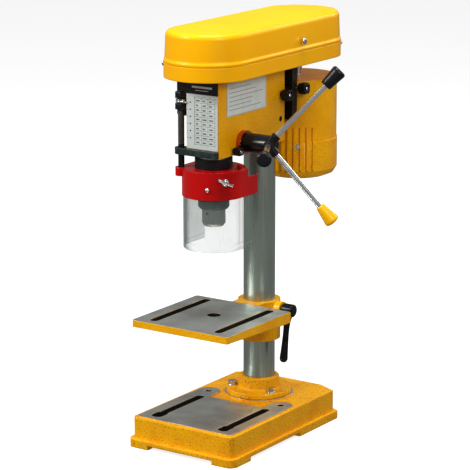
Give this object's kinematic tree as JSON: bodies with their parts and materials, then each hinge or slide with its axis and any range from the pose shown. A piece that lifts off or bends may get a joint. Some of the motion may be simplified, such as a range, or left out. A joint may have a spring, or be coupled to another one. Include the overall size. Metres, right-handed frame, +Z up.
{
  "type": "drill press",
  "caption": "Small bench drill press: cast base, tube column, sliding slotted table, geared quill with three-arm feed, guarded chuck, stepped belt drive under a hinged cover, sliding motor.",
  "frame": {"origin": "on the column's axis, in the plane of the bench under the base", "axes": "+Z up along the column, -Y towards the operator, +X to the operator's right"},
  "size_m": [0.2434, 0.3756, 0.598],
  "materials": {
    "yellow_paint": "glossy enamel on cast iron and pressed steel",
    "ground_iron": "ground face",
    "bright_steel": "turned and polished",
    "dark_steel": "blackened",
    "chrome": "bright plate",
    "zinc": "bright zinc plate",
    "black_plastic": "moulded",
    "black_steel": "black oxide",
    "lug_iron": "phosphated",
    "red_plastic": "moulded",
    "green_plastic": "moulded",
    "yellow_plastic": "moulded",
    "clear_plastic": "clear polycarbonate",
    "scale_plate": "printed sheet",
    "label_sheet": "printed film",
    "copper_ring": "anodised ring",
    "pulley_alloy": "cast and turned",
    "belt_rubber": "moulded V belt"
  },
  "bodies": {
    "frame": {"base": "yellow_paint", "column_flange": "yellow_paint", "flange_bolts": "zinc", "column_set_screws": "black_steel", "column": "bright_steel", "head_casting": "yellow_paint", "front_plate": "scale_plate", "side_plate": "label_sheet", "depth_lug": "lug_iron", "spring_housing": "black_plastic", "return_spring": "dark_steel", "drive_bearings": "bright_steel", "drive_belt": "belt_rubber", "belt_tray": "yellow_paint", "tray_screws": "zinc", "lid_hinge_pins": "zinc", "switch_box": "black_plastic", "cord_gland": "black_plastic"},
    "table": {"table": "yellow_paint"},
    "table_lock": {"table_lock_screw": "zinc", "table_lock_lever": "black_steel"},
    "quill": {"quill": "bright_steel", "quill_collar": "black_plastic", "quill_bearings": "bright_steel", "guard_hood": "red_plastic", "guard_screws": "chrome", "depth_rod": "black_steel", "depth_nuts": "black_steel", "depth_pointer": "zinc"},
    "feed": {"feed_shaft": "bright_steel", "feed_ring": "copper_ring", "feed_hub": "black_plastic", "feed_arms": "chrome", "feed_knobs": "black_plastic", "feed_knob_yellow": "yellow_plastic"},
    "spindle": {"spindle": "bright_steel", "chuck_body": "bright_steel"},
    "chuck_sleeve": {"chuck_sleeve": "dark_steel"},
    "jaw_1": {"chuck_jaw_1": "dark_steel"},
    "jaw_2": {"chuck_jaw_2": "dark_steel"},
    "jaw_3": {"chuck_jaw_3": "dark_steel"},
    "guard": {"guard_shield": "clear_plastic"},
    "guard_screw": {"guard_lock_screw": "chrome"},
    "quill_lock": {"quill_lock_knob": "black_plastic"},
    "pulley": {"drive_sleeve": "bright_steel", "spindle_pulley": "pulley_alloy"},
    "lid": {"belt_lid": "yellow_paint"},
    "lid_latch": {"lid_latch": "zinc"},
    "motor": {"motor_slide_bars": "bright_steel", "motor_plate": "black_steel", "motor_can": "yellow_paint", "motor_bell": "yellow_paint", "motor_screws": "zinc"},
    "rotor": {"motor_rotor": "bright_steel", "motor_pulley": "pulley_alloy"},
    "motor_lock_right": {"motor_lock_knob_right": "black_plastic"},
    "motor_lock_left": {"motor_lock_knob_left": "black_plastic"},
    "motor_knob": {"motor_plate_knob": "black_plastic"},
    "start_button": {"start_button": "green_plastic"},
    "stop_button": {"stop_button": "red_plastic"}
  },
  "joints": [
    {"name": "table_slide", "type": "slide", "parent": "frame", "child": "table", "axis": [0, 0, 1], "range_m": [-0.045, 0.045]},
    {"name": "table_lock_turn", "type": "hinge", "parent": "table", "child": "table_lock", "pos_m": [0, 0, 0.176], "axis": [1, 0, 0], "range_deg": [-45, 110]},
    {"name": "quill_feed", "type": "slide", "parent": "frame", "child": "quill", "axis": [0, 0, -1], "range_m": [0, 0.05], "stiffness_N_per_m": 250, "springref_m": -0.2},
    {"name": "feed_turn", "type": "hinge", "parent": "frame", "child": "feed", "pos_m": [0, -0.0855, 0.436], "axis": [1, 0, 0], "range_deg": [0, 287], "deforming": ["return_spring"]},
    {"name": "spindle_spin", "type": "hinge", "parent": "quill", "child": "spindle", "pos_m": [0, -0.116, 0.42], "axis": [0, 0, 1], "continuous": true},
    {"name": "chuck_sleeve_turn", "type": "hinge", "parent": "spindle", "child": "chuck_sleeve", "pos_m": [0, -0.116, 0.358], "axis": [0, 0, 1], "range_deg": [0, 2880]},
    {"name": "jaw_1_slide", "type": "slide", "parent": "spindle", "child": "jaw_1", "axis": [0, 0.2588, 0.9659], "range_m": [0, 0.0221]},
    {"name": "jaw_2_slide", "type": "slide", "parent": "spindle", "child": "jaw_2", "axis": [-0.2241, -0.1294, 0.9659], "range_m": [0, 0.0221]},
    {"name": "jaw_3_slide", "type": "slide", "parent": "spindle", "child": "jaw_3", "axis": [0.2241, -0.1294, 0.9659], "range_m": [0, 0.0221]},
    {"name": "guard_slide", "type": "slide", "parent": "quill", "child": "guard", "axis": [0, 0, 1], "range_m": [0, 0.02]},
    {"name": "guard_screw_turn", "type": "hinge", "parent": "quill", "child": "guard_screw", "pos_m": [0.03645, -0.14152, 0.3885], "axis": [0.8192, -0.5736, 0], "range_deg": [-60, 60]},
    {"name": "quill_lock_turn", "type": "hinge", "parent": "frame", "child": "quill_lock", "pos_m": [0.028, -0.10995, 0.427], "axis": [1, 0, 0], "range_deg": [-180, 180]},
    {"name": "pulley_spin", "type": "hinge", "parent": "frame", "child": "pulley", "pos_m": [0, -0.116, 0.532], "axis": [0, 0, 1], "continuous": true},
    {"name": "motor_slide", "type": "slide", "parent": "frame", "child": "motor", "axis": [0, 1, 0], "range_m": [-0.004, 0.008], "deforming": ["drive_belt"]},
    {"name": "motor_spin", "type": "hinge", "parent": "motor", "child": "rotor", "pos_m": [0, 0.101, 0.532], "axis": [0, 0, 1], "continuous": true},
    {"name": "motor_lock_right_turn", "type": "hinge", "parent": "frame", "child": "motor_lock_right", "pos_m": [0.028, 0.014, 0.488], "axis": [1, 0, 0], "range_deg": [-180, 180]},
    {"name": "motor_lock_left_turn", "type": "hinge", "parent": "frame", "child": "motor_lock_left", "pos_m": [-0.028, 0.014, 0.488], "axis": [-1, 0, 0], "range_deg": [-180, 180]},
    {"name": "motor_knob_turn", "type": "hinge", "parent": "motor", "child": "motor_knob", "pos_m": [0.028, 0.045, 0.494], "axis": [1, 0, 0], "range_deg": [-180, 180]},
    {"name": "lid_hinge", "type": "hinge", "parent": "frame", "child": "lid", "pos_m": [-0.067, 0, 0.553], "axis": [0, -1, 0], "range_deg": [0, 100]},
    {"name": "lid_latch_turn", "type": "hinge", "parent": "lid", "child": "lid_latch", "pos_m": [0.062, 0.014, 0.5675], "axis": [1, 0, 0], "range_deg": [-180, 180]},
    {"name": "start_press", "type": "slide", "parent": "frame", "child": "start_button", "axis": [1, 0, 0], "range_m": [0, 0.0025], "stiffness_N_per_m": 400, "springref_m": -0.003},
    {"name": "stop_press", "type": "slide", "parent": "frame", "child": "stop_button", "axis": [1, 0, 0], "range_m": [0, 0.0025], "stiffness_N_per_m": 400, "springref_m": -0.003}
  ],
  "couplings": [
    {"joint": "feed_turn", "follows": "quill_feed", "rad_per_m": 100},
    {"joint": "pulley_spin", "follows": "spindle_spin", "ratio": 1},
    {"joint": "motor_spin", "follows": "spindle_spin", "ratio": 1.4},
    {"joint": "jaw_1_slide", "follows": "chuck_sleeve_turn", "m_per_rad": 0.00043768},
    {"joint": "jaw_2_slide", "follows": "chuck_sleeve_turn", "m_per_rad": 0.00043768},
    {"joint": "jaw_3_slide", "follows": "chuck_sleeve_turn", "m_per_rad": 0.00043768}
  ]
}
